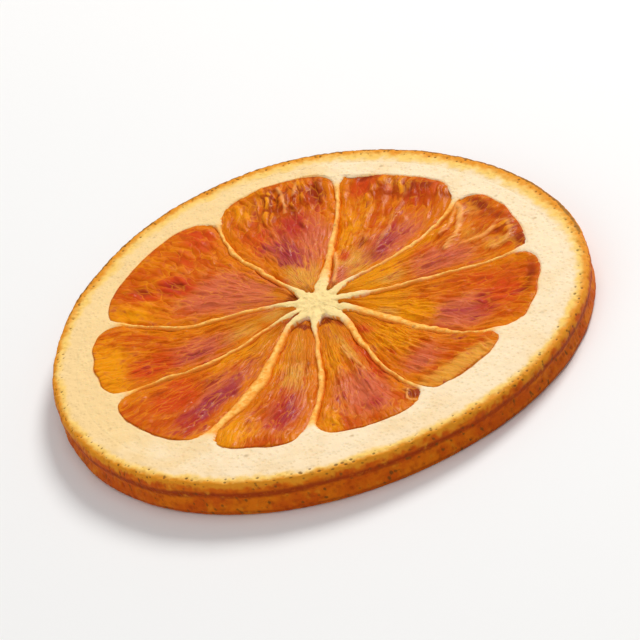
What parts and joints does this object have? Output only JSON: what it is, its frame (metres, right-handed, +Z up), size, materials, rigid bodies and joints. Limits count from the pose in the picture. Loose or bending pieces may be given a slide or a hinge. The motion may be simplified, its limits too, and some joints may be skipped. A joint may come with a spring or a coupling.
{
  "type": "dried blood orange slice",
  "caption": "Round dried slice of blood orange with a waisted rind, a pale pith ring, thin membranes and sunk, red-flecked pulp, lying flat as a garnish.",
  "frame": {"origin": "middle of the slice's bounding box, on the plane that its underside rests on", "axes": "+Z up out of the cut face that shows, +X to the right and +Y away from the camera in the picture's view of the slice"},
  "size_m": [0.068, 0.0688, 0.0049],
  "materials": {
    "dried_fruit": "satin, with glossy pulp and matt pith"
  },
  "bodies": {
    "root": {"citrus_slice": "dried_fruit"}
  },
  "joints": []
}
